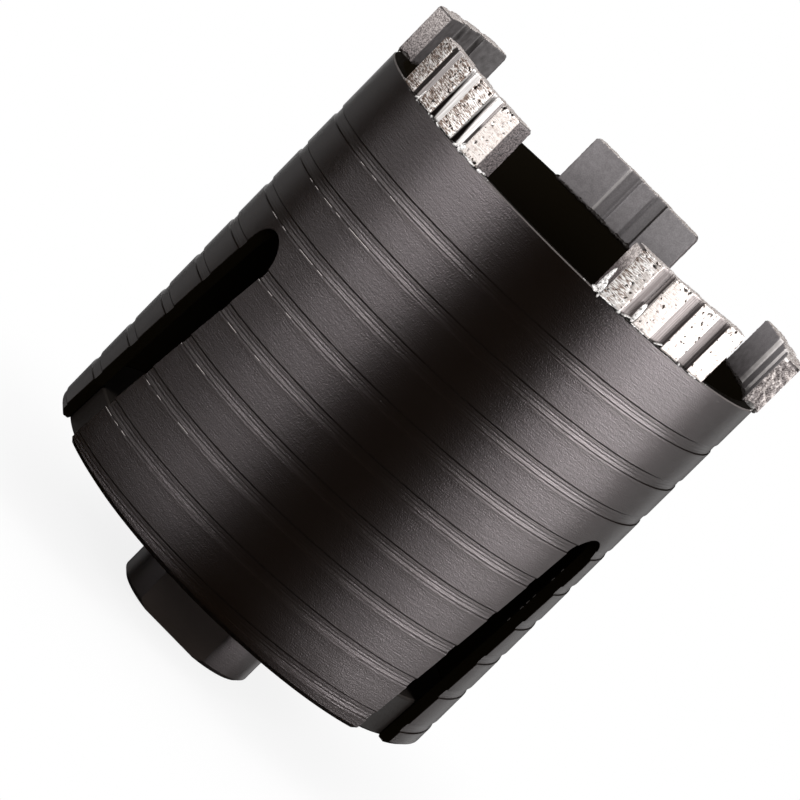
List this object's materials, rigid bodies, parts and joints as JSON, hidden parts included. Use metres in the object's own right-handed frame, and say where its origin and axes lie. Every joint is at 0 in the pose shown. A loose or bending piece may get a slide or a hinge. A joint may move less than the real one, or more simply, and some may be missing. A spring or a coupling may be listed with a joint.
{
  "type": "diamond core bit",
  "caption": "Cup-shaped drill bit with a helically grooved steel tube, slanted slots, diamond segments on its mouth and a threaded hub.",
  "frame": {"origin": "centre of the hub's end face, which seats on the drill's arbor, and on which the bit stands", "axes": "+Z along the bit's axis, from the hub to the segments; +Y points out through the middle of one slot"},
  "size_m": [0.0815, 0.0813, 0.1008],
  "materials": {
    "black_steel": "satin black coating over turned steel",
    "diamond_segment": "sintered metal, ground on its faces"
  },
  "bodies": {
    "root": {"barrel": "black_steel", "back_plate": "black_steel", "hub": "black_steel", "segment_1": "diamond_segment", "segment_2": "diamond_segment", "segment_3": "diamond_segment", "segment_4": "diamond_segment", "segment_5": "diamond_segment"}
  },
  "joints": []
}
